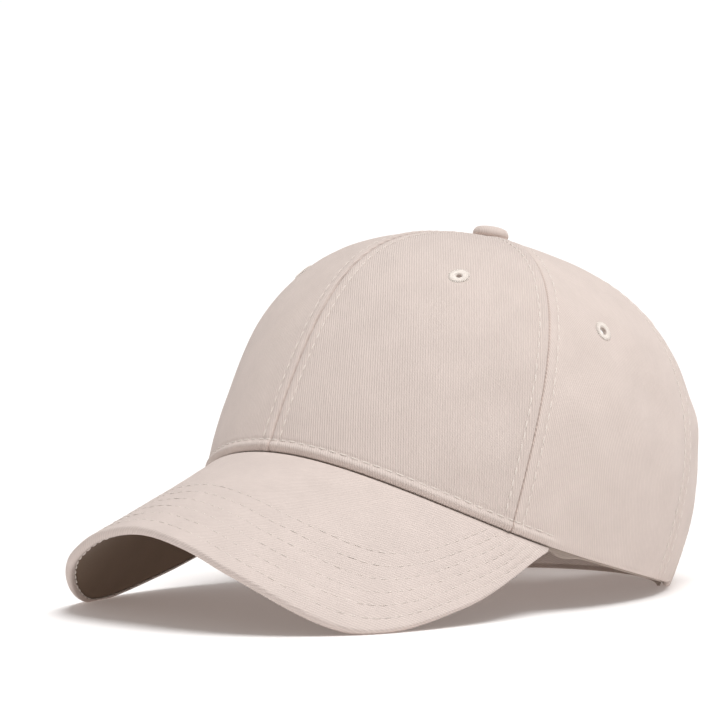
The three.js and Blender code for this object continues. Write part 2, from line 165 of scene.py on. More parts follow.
def crown_point(around, down):
    around, down = np.broadcast_arrays(np.asarray(around, float), np.asarray(down, float))
    c, s = np.cos(around), np.sin(around)
    weights = np.stack([np.maximum(c, 0) ** 2, s * s, np.maximum(-c, 0) ** 2])
    fullness, tuck, shoulder = (np.tensordot(row, weights, 1) for row in (FULLNESS, TUCK, SHOULDER))
    sin_down = np.maximum(np.sin(down), 0)
    cos_down = np.maximum(np.cos(down), 0)
    spread = sin_down ** (2 / fullness) + tuck * sin_down**4 * cos_down / 0.286
    x = CROWN_HALF_WIDTH * signed_power(s, 2 / PLAN_EXPONENT) * spread
    y = -CROWN_HALF_LENGTH * signed_power(c, 2 / PLAN_EXPONENT)
    y = APEX_SHIFT + (y - APEX_SHIFT) * spread
    z = CROWN_HEIGHT * cos_down ** (2 / fullness) + CROWN_TENT * (1 - sin_down) ** 3
    shoulder = shoulder + QUARTER_LIFT * (2 * s * np.maximum(-c, 0)) ** 2
    z = z + shoulder * CROWN_HEIGHT * (2 * sin_down * cos_down) ** 2
    cos_tilt, sin_tilt = math.cos(CROWN_TILT), math.sin(CROWN_TILT)
    return np.stack([x, y * cos_tilt + z * sin_tilt, z * cos_tilt - y * sin_tilt + CROWN_LIFT], -1)


def crown_frame(around, down):
    """The place, its outward normal, and the directions down the wall and around it."""
    step = FRAME_STEP
    side = crown_point(around + step, down) - crown_point(around - step, down)
    fall = crown_point(around, down + step) - crown_point(around, down - step)
    return crown_point(around, down), unit(np.cross(fall, side)), unit(fall), unit(side)


def bisect(low, high, is_low, shape):
    low = np.full(shape, float(low))
    high = np.full(shape, float(high))
    for _ in range(30):
        middle = (low + high) / 2
        below = is_low(middle)
        low = np.where(below, middle, low)
        high = np.where(below, high, middle)
    return (low + high) / 2


def down_at_height(around, height):
    shape = np.broadcast_shapes(np.shape(around), np.shape(height))
    return bisect(0.01, math.pi / 2, lambda down: crown_point(around, down)[..., 2] > height, shape)


def around_at_distance(distance, down):
    shape = np.broadcast_shapes(np.shape(distance), np.shape(down))
    return bisect(math.pi / 2, math.pi, lambda a: crown_point(a, down)[..., 0] > distance, shape)


def even_curve(at, middle, first, second, third):
    m = middle * middle
    fourth = (second - first - m * (third - first)) / (m * m - m)
    return first + (third - first - fourth) * at**2 + fourth * at**4


def rim_height(around):
    angle = np.abs(around) / DEGREE
    brow = RIM_FRONT_HEIGHT * RIM_BROW_SHARE
    front = even_curve(angle / PEAK_CORNER, math.sqrt(0.5), RIM_FRONT_HEIGHT, brow, RIM_CORNER_HEIGHT)
    behind = 180 - PEAK_CORNER
    middle = (180 - BACK_SEAM) / behind
    back = even_curve((180 - angle) / behind, middle, RIM_BACK_HEIGHT, RIM_SIDE_HEIGHT, RIM_CORNER_HEIGHT)
    return np.where(angle < PEAK_CORNER, front, back)


def rim_down(around, above=0.0):
    return down_at_height(around, rim_height(around) + above)


def place_behind(x, z):
    """Around and down of the place on the back of the crown at that distance from the middle and height."""
    down = down_at_height(np.full(np.shape(x), math.pi), z)
    for _ in range(4):
        around = around_at_distance(np.abs(x), down)
        down = down_at_height(around, z)
    return around, down


# The cap's middle is where the solids have it.
band_front = crown_frame(0.0, rim_down(0.0, GAP))
band_front = band_front[0] - band_front[1] * (FRONT_WALL + GAP)
CENTRE_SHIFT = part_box("sweatband")[0].y * 1000 - band_front[1]


# Meshes

def to_metres(points):
    points = np.asarray(points, float).reshape(-1, 3) + (0, CENTRE_SHIFT, 0)
    points[:, 2] = np.maximum(points[:, 2], 0)
    return points * 0.001


def add_piece(name, points, faces, uv, material, replaced=(), sharp=50):
    mesh = bpy.data.meshes.new(name)
    mesh.from_pydata(to_metres(points).tolist(), [], faces)
    corners = np.empty(len(mesh.loops), np.int32)
    mesh.loops.foreach_get("vertex_index", corners)
    layer = mesh.uv_layers.new(name="cloth")
    layer.data.foreach_set("uv", (np.asarray(uv).reshape(-1, 2)[corners] * 0.001).ravel())
    mesh.polygons.foreach_set("use_smooth", np.ones(len(mesh.polygons), bool))
    mesh.set_sharp_from_angle(angle=sharp * DEGREE)
    mesh.materials.append(material)
    thing = bpy.data.objects.new(name, mesh)
    scene.collection.objects.link(thing)
    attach(thing, "root")
    if replaced:
        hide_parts(*replaced)
    return thing


def is_inside_out(points, faces):
    """Whether the faces point inwards, from the signed volume of the quads."""
    quads = np.array([f for f in faces if len(f) == 4])
    p = [points[quads[:, i]] for i in range(4)]
    return (p[0] * (np.cross(p[1], p[2]) + np.cross(p[2], p[3]))).sum() < 0


def outwards(points, faces):
    return [face[::-1] for face in faces] if is_inside_out(points, faces) else faces


def quads_between(count, size):
    """Quads between outlines that are each closed and have size points."""
    j = np.arange(size)
    k = (j + 1) % size
    rows = [np.stack([i * size + j, i * size + k, (i + 1) * size + k, (i + 1) * size + j], 1)
            for i in range(count - 1)]
    return np.concatenate(rows).tolist()


def arc(start, stop, ahead, count, bulge):
    """Points of a rounded edge from start to stop, standing out along ahead."""
    middle = (start + stop) / 2
    half = np.linalg.norm(start - stop, axis=-1, keepdims=True) / 2
    turns = [math.pi * (i + 1) / (count + 1) for i in range(count)]
    made = [middle + (start - middle) * math.cos(t) + ahead * half * bulge * math.sin(t) for t in turns]
    return [points[:, None] for points in made]


def shell(outer, inner, uv, foot, top, bulge):
    """Closed outlines round a sheet of cloth: outer and inner are (sections, points, 3)."""
    parts = [outer, *arc(outer[:, -1], inner[:, -1], unit(outer[:, -1] - outer[:, -2]), foot, bulge),
             inner[:, ::-1], *arc(inner[:, 0], outer[:, 0], unit(outer[:, 0] - outer[:, 1]), top, bulge)]
    uvs = [uv, *[uv[:, -1:]] * foot, uv[:, ::-1], *[uv[:, :1]] * top]
    return np.concatenate(parts, 1), np.concatenate(uvs, 1)


def add_shell(name, outer, inner, uv, material, replaced=(), foot=3, top=3, bulge=0.8):
    outline, outline_uv = shell(outer, inner, uv, foot, top, bulge)
    points = outline.reshape(-1, 3)
    faces = outwards(points, shell_faces(*outline.shape[:2], outer.shape[1], foot))
    return add_piece(name, points, faces, outline_uv.reshape(-1, 2), material, replaced)


def shell_faces(count, size, half, foot):
    """Faces between the outlines, and flat ends that pair each outer point with the inner one."""
    faces = quads_between(count, size)
    inner_end = 2 * half + foot - 1
    end = (count - 1) * size
    for i in range(half - 1):
        quad = [i, inner_end - i, inner_end - i - 1, i + 1]
        faces.append(quad)
        faces.append([end + v for v in quad[::-1]])
    for ring in (list(range(half - 1, half + foot + 1)), list(range(inner_end, size)) + [0]):
        if len(ring) > 2:
            faces.append(ring[::-1])
            faces.append([end + v for v in ring])
    return faces


def between(at, table, places):
    """Places in between the ones that a table of growing numbers belongs to."""
    return np.stack([np.interp(at, table, places[:, i]) for i in range(3)], -1)


def lengths(points, axis):
    """Distance along the rows (axis 1) or the columns (axis 0) of a grid of points, from its start."""
    steps = np.linalg.norm(np.diff(points, axis=axis), axis=-1)
    start = np.zeros_like(np.take(steps, [0], axis=axis))
    return np.concatenate([start, np.cumsum(steps, axis=axis)], axis=axis)


def spaced(length, near, step):
    """Shares of a length, close together where near says, in millimetres from either end."""
    near = [d for d in near if d < length / 2]
    middle = np.linspace(near[-1], length - near[-1], max(2, int((length - 2 * near[-1]) / step)) + 1)
    return np.concatenate([near[:-1], middle, length - np.array(near[:-1])[::-1]]) / length


# Relief of the cloth

def bell(distance, width):
    return np.exp(-((distance / width) ** 2))


def ripple(points, size, seed):
    """Smooth uneven relief from -1 to 1, about size millimetres from crest to crest."""
    flat = points.reshape(-1, 3) / size + seed * 7.31
    values = [noise.noise(Vector(p)) for p in flat.tolist()]
    return np.array(values).reshape(points.shape[:-1])


def seam_relief(distance, along, depth, lift):
    """Groove at a seam, a soft ridge over its allowance and a trough under the row of stitches."""
    pucker = 1 + 0.22 * np.sin(along * 2 * math.pi / (STITCH_LENGTH + STITCH_GAP))
    ridge = 0.30 * bell(distance - 2.3, 1.35) * pucker
    trough = 0.24 * bell(distance - STITCH_OFFSET, 0.75)
    return lift * bell(distance, 5.5) + ridge - trough - depth * bell(distance, 0.36)


def rim_relief(height, share):
    """The folded band that runs along the front of the rim, with its row of stitches above it."""
    band = 0.7 * bell(height - 1.8, 1.4) - 0.35 * bell(height - RIM_STITCH_HEIGHT, 0.7)
    edge = -0.5 * bell(height, 0.7)
    return share * band + edge


def dents(points, list_of_dents):
    """Hollows and swellings: side (1 left, -1 right), degrees around, down, radius and height."""
    total = np.zeros(points.shape[:-1])
    for sign, around, down, radius, height in list_of_dents:
        place = crown_point(around * DEGREE, down) * (sign, 1, 1)
        total += height * bell(np.linalg.norm(points - place, axis=-1), radius)
    return total


# Materials

class Nodes:
    """Short hand for building one material."""

    def __init__(self, name):
        self.material = bpy.data.materials.new(name)
        self.material.use_nodes = True
        self.tree = self.material.node_tree
        self.shader = self.tree.nodes["Principled BSDF"]

    def add(self, kind, inputs=(), **settings):
        node = self.tree.nodes.new(kind)
        for key, value in settings.items():
            setattr(node, key, value)
        for key, value in dict(inputs).items():
            if isinstance(value, bpy.types.NodeSocket):
                self.tree.links.new(value, node.inputs[key])
            else:
                node.inputs[key].default_value = value
        return node

    def math(self, operation, first, second=0.0):
        node = self.add("ShaderNodeMath", {0: first, 1: second}, operation=operation)
        return node.outputs[0]

    def surface(self, roughness, sheen):
        self.shader.inputs["Roughness"].default_value = roughness
        self.shader.inputs["Specular IOR Level"].default_value = 0.25
        self.shader.inputs["Sheen Weight"].default_value = sheen
        self.shader.inputs["Sheen Roughness"].default_value = 0.45

    def bump(self, height, strength, distance):
        made = self.add("ShaderNodeBump", {"Height": height, "Strength": strength, "Distance": distance})
        self.tree.links.new(made.outputs[0], self.shader.inputs["Normal"])

    def paint(self, factor, colour, darker, paler, start=0.0, stop=1.0):
        """From a darker to a paler shade of a colour as the factor goes from start to stop."""
        ramp = self.add("ShaderNodeValToRGB", {"Fac": factor})
        for i, (share, position) in enumerate(((darker, start), (paler, stop))):
            ramp.color_ramp.elements[i].position = position
            ramp.color_ramp.elements[i].color = (*(min(c * share, 1) for c in colour), 1)
        self.tree.links.new(ramp.outputs["Color"], self.shader.inputs["Base Color"])


def cloth_place(nodes, angle, pitch, stretch=1.0):
    """Coordinates on the cloth in threads, turned by an angle in degrees."""
    source = nodes.add("ShaderNodeTexCoord").outputs["UV"]
    turned = nodes.add("ShaderNodeMapping", {"Vector": source, "Rotation": (0, 0, angle * DEGREE)})
    scale = 1000 / pitch
    across = {"Vector": turned.outputs[0], "Scale": (scale, scale / stretch, scale)}
    sized = nodes.add("ShaderNodeMapping", across)
    return sized.outputs[0]


WAVE_PERIOD = math.pi / 10


def ribs(nodes, angle, pitch, distortion):
    """Rows of ribs, 0 in the furrows and 1 on the crests."""
    wave = {"Vector": cloth_place(nodes, angle, pitch), "Scale": WAVE_PERIOD, "Distortion": distortion,
            "Detail": 2.0, "Detail Scale": 2.2, "Detail Roughness": 0.6}
    return nodes.add("ShaderNodeTexWave", wave, wave_type="BANDS", bands_direction="X").outputs["Fac"]


def speckle(nodes, angle, pitch, stretch, detail=2.0):
    made = {"Vector": cloth_place(nodes, angle, pitch, stretch), "Scale": 1.0, "Detail": detail}
    return nodes.add("ShaderNodeTexNoise", made).outputs["Fac"]


def twill(name, colour, angle, pitch=0.95, relief=0.16, cross=62.0, wander=0.7, fuzz=0.3):
    """Brushed cotton twill: broken ribs, finer diagonal ones across them, mottled with paler fibres."""
    nodes = Nodes(name)
    main = ribs(nodes, angle, pitch, wander)
    fine = ribs(nodes, angle + cross, pitch * 0.55, 0.8)
    slubs = speckle(nodes, angle, pitch * 0.8, 5.0)
    patches = speckle(nodes, angle, 14.0, 1.0, 3.0)
    fluff = speckle(nodes, angle, 0.35, 1.0, 3.0)
    uneven = nodes.math("ADD", nodes.math("MULTIPLY", slubs, 1.2), 0.1)
    broken = nodes.math("MULTIPLY", main, uneven)
    height = nodes.math("ADD", broken, nodes.math("MULTIPLY", fine, 0.3))
    height = nodes.math("ADD", height, nodes.math("MULTIPLY", fluff, fuzz))
    nodes.bump(height, 1.0, relief * 0.001)
    tone = nodes.math("ADD", nodes.math("MULTIPLY", broken, 0.6), nodes.math("MULTIPLY", patches, 0.5))
    nodes.paint(tone, colour, 0.88, 1.09, 0.1, 0.9)
    nodes.surface(0.93, 0.08)
    return nodes.material


def thread_material(name, colour):
    """Two-ply cotton thread: plies that wind round the stitch, with a slight sheen."""
    nodes = Nodes(name)
    plies = ribs(nodes, 38, 0.55, 0.2)
    fluff = speckle(nodes, 0, 0.3, 1.0)
    height = nodes.math("ADD", plies, nodes.math("MULTIPLY", fluff, 0.3))
    nodes.bump(height, 0.8, 0.00008)
    nodes.paint(plies, colour, 0.86, 1.05)
    nodes.surface(0.7, 0.25)
    return nodes.material


FRONT_TWILL = twill("front_twill", CLOTH, -14, relief=0.2)
SIDE_TWILL = twill("side_twill", CLOTH, -24, relief=0.12)
TRIM_TWILL = twill("trim_twill", CLOTH, 35, relief=0.11)
PEAK_TWILL_WITH_PAINTED_SHADE = twill("peak_twill", PEAK_CLOTH_WITH_PAINTED_SHADE, 45, relief=0.14)
LINING_TWILL_AND_PAINTED_SHADE = twill("lining_twill_painted_shade", LINING_CLOTH_AND_PAINTED_SHADE, 45, relief=0.10)
STRAP_TWILL = twill("strap_twill", STRAP_CLOTH, 60, pitch=0.8, relief=0.11)
BAND_TAPE = twill("band_tape", BAND_CLOTH, 90, pitch=0.7, relief=0.08, cross=90)
BUTTON_TWILL = twill("button_twill", CLOTH, 20, pitch=0.6, relief=0.03)
COTTON_THREAD = thread_material("cotton_thread", THREAD)
SATIN_THREAD = thread_material("satin_thread", EYELET_THREAD)


# Stitches

def path_at(points, normals, distances):
    run = lengths(points, 0)
    return between(distances, run, points), unit(between(distances, run, normals))


STITCH_SIDES = 7
STITCH_RINGS = 8


def one_stitch(points, normals, radius):
    """A thread that comes up out of the cloth, lies on it and goes down again."""
    share = np.linspace(0, 1, len(points))
    rise = radius * (1.0 * np.sin(math.pi * share) ** 0.6 - 0.55)
    centre = points + normals * rise[:, None]
    ahead = unit(np.gradient(points, axis=0))
    side = unit(np.cross(ahead, normals))
    thick = radius * np.maximum(np.sin(math.pi * np.clip(share, 0.03, 0.97)) ** 0.35, 0.3)
    turns = np.arange(STITCH_SIDES) * 2 * math.pi / STITCH_SIDES
    c, s = np.cos(turns)[None, :, None], np.sin(turns)[None, :, None]
    ring = side[:, None] * c + normals[:, None] * s * 0.85
    made = centre[:, None] + ring * thick[:, None, None]
    uv = np.stack(np.broadcast_arrays(turns * radius, lengths(points, 0)[:, None]), -1)
    return made.reshape(-1, 3), uv.reshape(-1, 2)


def tube_faces(start, rings, sides):
    faces = []
    for i in range(rings - 1):
        for j in range(sides):
            k = (j + 1) % sides
            a, b = start + i * sides, start + (i + 1) * sides
            faces.append([a + j, b + j, b + k, a + k])
    faces.append([start + j for j in range(sides)])
    faces.append([start + (rings - 1) * sides + j for j in reversed(range(sides))])
    return faces


def add_stitches(name, rows, radius=STITCH_RADIUS, length=STITCH_LENGTH, gap=STITCH_GAP):
    """All the stitches along some paths as one piece; a row is (points, normals)."""
    points, faces, uv = [], [], []
    start = 0
    for row_points, row_normals in rows:
        total = lengths(row_points, 0)[-1]
        count = max(1, int(round(total / (length + gap))))
        pitch = total / count
        for i in range(count):
            wander = 0.12 * math.sin(i * 2.4) + 0.08 * math.sin(i * 5.1)
            at = i * pitch + gap / 2 + np.linspace(0, pitch - gap, STITCH_RINGS) + wander * 0.5
            places, outs = path_at(row_points, row_normals, np.clip(at, 0, total))
            side = unit(np.cross(unit(np.gradient(places, axis=0)), outs))
            places = places + side * wander * 0.6
            made, made_uv = one_stitch(places, outs, radius)
            points.append(made)
            uv.append(made_uv)
            faces.extend(tube_faces(start, STITCH_RINGS, STITCH_SIDES))
            start += len(made)
    points = np.concatenate(points)
    faces = outwards(points, faces)
    return add_piece(name, points, faces, np.concatenate(uv), COTTON_THREAD)


# Crown panels

NEAR_SEAM = [-0.05, 0.2, 0.38, 0.6, 0.85, 1.2, 1.7, 2.3, 2.9, 3.4, 3.8, 4.1, 4.3, 4.5, 4.8, 5.2, 5.8, 6.6,
             7.7, 9.2, 11]
NEAR_RIM = [0, 0.3, 0.6, 0.9, 1.3, 1.8, 2.3, 2.8, 3.2, 3.6, 3.9, 4.2, 4.6, 5.1, 5.8, 6.6, 7.6, 9]
PANEL_TOP_SHOWN = 0.012
crown_stitches = []
rim_stitches = []


def front_middle(row):
    return np.zeros_like(row)


def front_seam(row):
    return (FRONT_SEAM + FRONT_SEAM_BOW * np.sin(math.pi * row)) * DEGREE


def back_seam(row):
    return np.full_like(row, BACK_SEAM * DEGREE)


def panel_rows():
    wall = 155
    high = np.linspace(0, 1 - NEAR_RIM[-1] / wall, 112)
    return np.concatenate([high, 1 - np.array(NEAR_RIM[:-1])[::-1] / wall])


def along_lines(values, distances, wanted):
    """For each line of a grid, its values at the wanted distance, which grows or falls along the line."""
    order = 1 if distances[-1, -1] > distances[-1, 0] else -1
    return np.array([between(wanted, d[::order], v[::order]) for d, v in zip(distances, values)])


def panel_grid(sign, start, stop, width):
    """Places on a panel between two seams, with their distances from the seams, the rim and the top."""
    row = panel_rows()[None, :]
    column = spaced(width, NEAR_SEAM, 2.1)[:, None]
    around = mix(start(row), stop(row), column)
    down = mix(PANEL_TOP_SHOWN, rim_down(around, GAP + 0.5), row)
    points, out = (values * (sign, 1, 1) for values in crown_frame(around, down)[:2])
    across = lengths(points, 0) + 0.02
    along = lengths(points, 1)
    return {"points": points, "out": out, "around": around, "along": along, "height": along[:, -1:] - along,
            "from_start": across, "from_stop": across[-1:] - across + 0.02}


def add_panel(name, sign, grid, rise, wall, material, replaced):
    outer = grid["points"] + grid["out"] * rise[..., None]
    inner = grid["points"] - grid["out"] * wall
    middle = grid["from_start"] - grid["from_start"][-1:] / 2
    uv = np.stack([middle * sign, -grid["along"]], -1)
    return add_shell(name, outer, inner, uv, material, replaced, top=0), outer


def stitch_seam(grid, outer, edge, above_rim):
    """A row of stitches down a panel beside one of its seams."""
    keep = (grid["from_start"][-1] > 2 * STITCH_OFFSET + 1.4) & above_rim
    distance = grid[f"from_{edge}"].T
    path, normals = (along_lines(values.swapaxes(0, 1), distance, STITCH_OFFSET)[keep]
                     for values in (outer, grid["out"]))
    crown_stitches.append((path, unit(normals)))


def crown_panel(name, sign, start, stop, wall, relief, material, replaced):
    """A front or side panel. relief(grid) gives how far the cloth stands out."""
    grid = panel_grid(sign, start, stop, 100)
    thing, outer = add_panel(name, sign, grid, relief(grid), wall, material, replaced)
    above_rim = grid["height"][len(outer) // 2] > (RIM_STITCH_HEIGHT if name.startswith("front") else 1.5)
    for edge in ("start", "stop"):
        stitch_seam(grid, outer, edge, above_rim)
    in_front = grid["around"][:, -1] < PEAK_CORNER * DEGREE
    path, normals = (along_lines(values, grid["height"], RIM_STITCH_HEIGHT)[in_front]
                     for values in (outer, grid["out"]))
    rim_stitches.append((path, unit(normals)))
    return thing


# The reliefs give millimetres out of the wall: heights and depths, then widths of what they belong to.

def away_from_eyelet(grid, index):
    """0 at the panel's eyelet, which draws the cloth flat, and 1 away from it."""
    place = crown_point(EYELETS[index][1] * DEGREE, EYELETS[index][2])
    apart = grid["points"] * (np.sign(grid["points"][..., :1]) * (1, 0, 0) + (0, 1, 1)) - place
    return smooth(np.linalg.norm(apart, axis=-1) / 7 - 0.7)


def front_relief(grid):
    below_button = smooth((grid["along"] - 15) / 30)
    lap = mix(0.1, np.where(grid["points"][..., 0] < 0, 0.34, -0.04), below_button)
    seams = seam_relief(grid["from_start"], grid["along"], mix(0.6, 1.45, below_button), lap)
    seams += seam_relief(grid["from_stop"], grid["along"], 1.1, 0.35)
    free = smooth(np.minimum(grid["from_start"], grid["from_stop"]) / 12)
    soft = 0.35 * ripple(grid["points"], 34, 1) + 0.12 * ripple(grid["points"], 11, 2)
    free *= smooth(grid["height"] / 14) * away_from_eyelet(grid, 0)
    return seams + rim_relief(grid["height"], 1) + soft * free + dents(grid["points"], FRONT_DENTS) * free


def side_relief(grid):
    seams = seam_relief(grid["from_start"], grid["along"], 1.1, -0.1)
    seams += seam_relief(grid["from_stop"], grid["along"], 0.7, 0.15)
    free = smooth(np.minimum(grid["from_start"], grid["from_stop"]) / 12)
    soft = 1.3 * ripple(grid["points"], 42, 3) + 0.5 * ripple(grid["points"], 17, 4)
    free *= (0.25 + 0.75 * smooth(grid["height"] / 16)) * away_from_eyelet(grid, 1)
    front = smooth((PEAK_CORNER * DEGREE + 0.04 - grid["around"]) / 0.06)
    return seams + rim_relief(grid["height"], front) + soft * free + dents(grid["points"], SIDE_DENTS) * free


def back_relief(grid):
    seams = seam_relief(grid["from_start"], grid["along"], 0.8, 0.0)
    soft = 1.0 * ripple(grid["points"], 40, 5) + 0.4 * ripple(grid["points"], 16, 6)
    free = smooth(grid["from_start"] / 12) * smooth(grid["from_stop"] / 10)
    free *= (0.25 + 0.75 * smooth(grid["height"] / 16)) * away_from_eyelet(grid, 2)
    seams = seams + rim_relief(grid["height"], 0) - 0.9 * bell(grid["from_stop"], 0.55)
    return seams + soft * free + dents(grid["points"], BACK_DENTS) * free


FRONT_DENTS = [
    (1, 60, 1.2, 12, -1.2),
    (1, 55, 1.36, 11, 0.8),
    (1, 12, 1.03, 22, -0.6),
    (-1, 40, 1.2, 14, -0.8),
    (-1, 56, 0.95, 16, 0.7),
]
SIDE_DENTS = [
    (1, 78, 0.975, 13, -1.5),
    (1, 86, 1.3, 22, 1.3),
    (1, 105, 1.08, 14, -1.7),
    (1, 115, 1.28, 12, 1.1),
    (1, 98, 0.8, 14, 0.8),
    (-1, 84, 1.02, 16, -1.4),
    (-1, 104, 1.2, 18, 1.2),
    (-1, 74, 1.3, 13, -0.9),
]
BACK_DENTS = [
    (-1, 154, 0.88, 9, -1.3),
    (-1, 150, 1.14, 12, -1.2),
    (-1, 140, 1.0, 13, 1.0),
    (1, 143, 1.03, 10, 1.4),
    (1, 133, 1.17, 12, -1.6),
    (1, 152, 0.8, 12, -0.9),
]


def slit_bottom():
    return float(down_at_height(math.pi, ARCH_HEIGHT + BINDING_WIDTH))


def slit_half_width(down):
    along = np.clip((down - SLIT_TOP) / (slit_bottom() - SLIT_TOP), 0, 1)
    return np.maximum(SLIT_HALF_WIDTH * np.sqrt(np.sin(math.pi * SLIT_TAPER * along)), GAP / 2)


def facing_edge(down):
    """Outer side of the slit's facing, which runs in smoothly under the button."""
    wide = slit_half_width(down) + FACING_WIDTH
    narrow = crown_point(math.pi / 2, down)[..., 0] / 2
    return -np.log(np.exp(-wide / 1.2) + np.exp(-narrow / 1.2)) * 1.2


def facing_side(row):
    """Where a back panel ends, just under the outer side of the slit's facing."""
    down = mix(PANEL_TOP_SHOWN, rim_down(np.full(row.shape, math.pi), GAP + 0.5), row)
    return around_at_distance(facing_edge(down) - 0.2, down)


def back_panel(name, sign, replaced):
    """Between the back seam and the slit's facing, cut out for the binding of the rear arch."""
    grid = panel_grid(sign, back_seam, facing_side, 80)
    arch = arch_distance(grid["points"][..., 0], grid["points"][..., 2]) - BINDING_WIDTH
    rise = back_relief(grid) - 0.55 * bell(arch, 0.8)
    thing, outer = add_panel(name, sign, grid, rise, PANEL_WALL, SIDE_TWILL, replaced)
    cut_arch(thing)
    stitch_seam(grid, outer, "start", grid["height"][0] > 1.5)
    return thing


def arch_distance(x, z):
    """About how far a place on the back is outside the opening of the rear arch."""
    def is_outside(grown):
        across = (x / (ARCH_HALF_WIDTH + grown)) ** 2
        return across + np.abs(z / (ARCH_HEIGHT + grown)) ** ARCH_EXPONENT > 1

    return bisect(0, 120, is_outside, np.shape(x))


def arch_outline(grow, count):
    """The arch's outline in x and z from the wearer's right foot over the top to the left, evenly spaced."""
    turn = np.linspace(math.pi, 0, 1201)
    x = (ARCH_HALF_WIDTH + grow) * np.cos(turn)
    z = (ARCH_HEIGHT + grow) * np.maximum(np.sin(turn), 0) ** (2 / ARCH_EXPONENT)
    x = np.concatenate([[x[0]], x, [x[-1]]])
    z = np.concatenate([[-3.0], z, [-3.0]])
    run = np.concatenate([[0], np.cumsum(np.hypot(np.diff(x), np.diff(z)))])
    at = np.linspace(0, run[-1], count)
    return np.interp(at, run, x), np.interp(at, run, z)


def cut(thing, tool):
    """Takes one closed mesh out of a piece for good."""
    modifier = thing.modifiers.new("cut", "BOOLEAN")
    modifier.operation = "DIFFERENCE"
    modifier.solver = "EXACT"
    modifier.object = tool
    bpy.context.view_layer.update()
    ready = thing.evaluated_get(bpy.context.evaluated_depsgraph_get())
    mesh = bpy.data.meshes.new_from_object(ready)
    thing.modifiers.clear()
    old = thing.data
    thing.data = mesh
    mesh.name = thing.name
    bpy.data.meshes.remove(old)
    bpy.data.objects.remove(tool, do_unlink=True)


def tool_object(points, faces):
    mesh = bpy.data.meshes.new("tool")
    mesh.from_pydata(points, [], faces)
    tool = bpy.data.objects.new("tool", mesh)
    scene.collection.objects.link(tool)
    return tool


def prism_faces(count):
    """Faces of a prism whose first count points are one end and the next count the other."""
    faces = [[i, (i + 1) % count, count + (i + 1) % count, count + i] for i in range(count)]
    return faces + [list(range(count))[::-1], list(range(count, 2 * count))]


def cut_arch(thing):
    """Makes room in a back panel for the arch and its binding."""
    count = 72
    x, z = arch_outline(BINDING_WIDTH - 0.4, count)
    front = np.stack([x, np.full(count, 30.0), z], 1)
    points = to_metres(np.concatenate([front, front + (0, 120, 0)]))
    points[:, 2] = np.concatenate([z, z]) * 0.001
    cut(thing, tool_object(points.tolist(), prism_faces(count)))


def punch_eyelet(thing, sign, around, down, hole):
    """The hole in a panel under its stitched eyelet."""
    count = 20
    point, out, fall, side = crown_frame(around * DEGREE, down)
    turns = np.arange(count) * 2 * math.pi / count
    ring = fall * np.cos(turns)[:, None] + side * np.sin(turns)[:, None]
    ring *= hole + 0.15
    points = np.concatenate([point + ring + out * 4, point + ring - out * 5]) * (sign, 1, 1)
    cut(thing, tool_object(to_metres(points).tolist(), outwards(points, prism_faces(count))))


def crown_panels():
    for side, sign in SIDES:
        front = crown_panel(f"front_{side}", sign, front_middle, front_seam, FRONT_WALL, front_relief,
                            FRONT_TWILL, [f"front_panel_{side}"])
        flank = crown_panel(f"side_{side}", sign, front_seam, back_seam, PANEL_WALL, side_relief,
                            SIDE_TWILL, [f"side_panel_{side}"])
        back = back_panel(f"back_{side}", sign, [f"back_panel_{side}"])
        for thing, (where, around, down, hole) in zip((front, flank, back), EYELETS):
            punch_eyelet(thing, sign, around, down, hole)
            eyelet(f"eyelet_{where}_{side}", sign, around, down, hole)


# Stitched eyelets and the button

EYELET_STITCHES = 34
EYELET_RINGS = 9
BUTTON_SIDES = 64
BUTTON_DOME = 1.4
# height and radius, from the underside up round the edge
BUTTON_EDGE = [(-0.6, 2), (-0.1, 5.4), (0.15, 6.5), (0.6, 6.95), (1.2, 7.1), (1.9, 7.08), (2.6, 6.85),
               (3.2, 6.4)]


def eyelet(name, sign, around, down, hole):
    """Satin stitches laid over a cord, side by side round the hole."""
    point, out, fall, side = crown_frame(around * DEGREE, down)
    points, faces, uv = [], [], []
    share = np.linspace(0, 1, EYELET_RINGS)
    for i in range(EYELET_STITCHES):
        turn = 2 * math.pi * i / EYELET_STITCHES
        wobble = 0.1 * math.sin(i * 3.7)
        ray = fall * math.cos(turn) + side * math.sin(turn)
        reach = mix(hole, EYELET_RADIUS + wobble, share)
        rise = 0.52 * np.sin(math.pi * np.clip(share * 0.94 + 0.03, 0, 1)) ** 0.4 - 0.3
        rise[0] = -1.3
        centre = point + ray * reach[:, None] + out * rise[:, None]
        over = unit(np.cross(np.cross(np.gradient(centre, axis=0), out), np.gradient(centre, axis=0)))
        made, made_uv = one_stitch(centre, over, 0.3)
        points.append(made)
        uv.append(made_uv)
        faces.extend(tube_faces(i * len(made), EYELET_RINGS, STITCH_SIDES))
    points = np.concatenate(points) * (sign, 1, 1)
    faces = outwards(points, faces)
    return add_piece(name, points, faces, np.concatenate(uv), SATIN_THREAD, [name])


